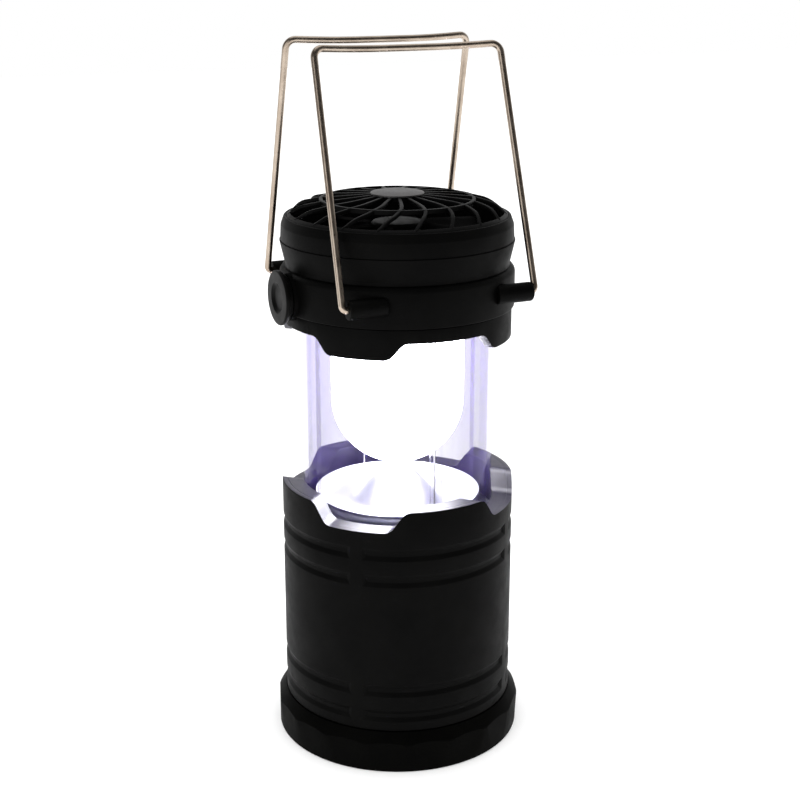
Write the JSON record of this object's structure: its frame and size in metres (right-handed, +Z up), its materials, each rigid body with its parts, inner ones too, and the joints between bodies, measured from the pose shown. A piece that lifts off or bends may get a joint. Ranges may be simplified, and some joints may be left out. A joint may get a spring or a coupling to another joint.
{
  "type": "camping lantern",
  "caption": "Collapsible battery camping lantern: a clear chamber slides into a castellated base, with a guarded fan in the head and folding wire bails.",
  "frame": {"origin": "middle of the underside of the base cap, on the surface the lantern stands on", "axes": "+Z up through the lantern; X along the bail hinges, with the control knob on the -X side"},
  "size_m": [0.0924, 0.093, 0.2594],
  "materials": {
    "black_housing": "matt black moulded plastic with a fine texture",
    "seal_rubber": "soft black seal",
    "inner_plastic": "dark grey moulded plastic, unseen",
    "white_plastic": "white moulded plastic that reflects the lamp",
    "fan_plastic": "black moulded plastic, slightly glossy",
    "dimmer_case": "blue moulded component case",
    "cell_jacket": "plain grey sleeve of a dry cell",
    "contact_metal": "nickel-plated contact strip",
    "screw_steel": "zinc-plated steel",
    "motor_can": "drawn steel motor can",
    "clear_tube": "clear plastic tube with a faint lilac tint",
    "frosted_diffuser": "frosted white diffuser, lit from inside",
    "mirror_dish": "vacuum-plated reflector",
    "heat_plate": "plain aluminium",
    "board_white": "white solder mask",
    "led_emitter": "phosphor of a light-emitting diode",
    "satin_disc": "satin grey disc",
    "plated_wire": "warm nickel-plated spring wire"
  },
  "bodies": {
    "base": {"base_shell": "black_housing", "guide_collar": "black_housing", "battery_tray": "inner_plastic", "tray_screws": "screw_steel", "battery_cells": "cell_jacket", "contact_plates": "contact_metal", "contact_springs": "contact_metal", "contact_rails": "contact_metal"},
    "cap": {"base_cap": "black_housing", "cap_gasket": "seal_rubber"},
    "head": {"head_collar": "black_housing", "deck": "white_plastic", "deck_screws": "screw_steel", "heat_plate": "heat_plate", "led_board": "board_white", "led_chips": "led_emitter", "diffuser": "frosted_diffuser", "clear_chamber": "clear_tube", "chamber_foot": "black_housing", "contact_strips": "contact_metal", "contact_sliders": "contact_metal", "reflector": "mirror_dish", "motor_cradle": "inner_plastic", "cradle_screws": "screw_steel", "fan_motor": "motor_can", "dimmer": "dimmer_case", "fan_shroud": "black_housing", "guard_bezel": "black_housing", "fan_guard": "black_housing", "hub_cap": "satin_disc"},
    "fan": {"motor_shaft": "screw_steel", "fan_impeller": "fan_plastic"},
    "knob": {"control_knob": "black_housing", "knob_shaft": "screw_steel"},
    "front_bail": {"handle_front": "plated_wire"},
    "back_bail": {"handle_back": "plated_wire"}
  },
  "joints": [
    {"name": "head_slide", "type": "slide", "parent": "base", "child": "head", "axis": [0, 0, 1], "range_m": [-0.05995, 0]},
    {"name": "cap_twist", "type": "hinge", "parent": "base", "child": "cap", "pos_m": [0, 0, 0], "axis": [0, 0, 1], "range_deg": [0, 45]},
    {"name": "fan_spin", "type": "hinge", "parent": "head", "child": "fan", "pos_m": [0, 0, 0.18235], "axis": [0, 0, 1], "continuous": true},
    {"name": "knob_turn", "type": "hinge", "parent": "head", "child": "knob", "pos_m": [-0.043, 0, 0.17145], "axis": [-1, 0, 0], "range_deg": [0, 270]},
    {"name": "front_bail_swing", "type": "hinge", "parent": "head", "child": "front_bail", "pos_m": [0, -0.0357, 0.17345], "axis": [1, 0, 0], "range_deg": [-3.3, 192]},
    {"name": "back_bail_swing", "type": "hinge", "parent": "head", "child": "back_bail", "pos_m": [0, 0.0357, 0.17345], "axis": [-1, 0, 0], "range_deg": [-7.3, 188]}
  ]
}
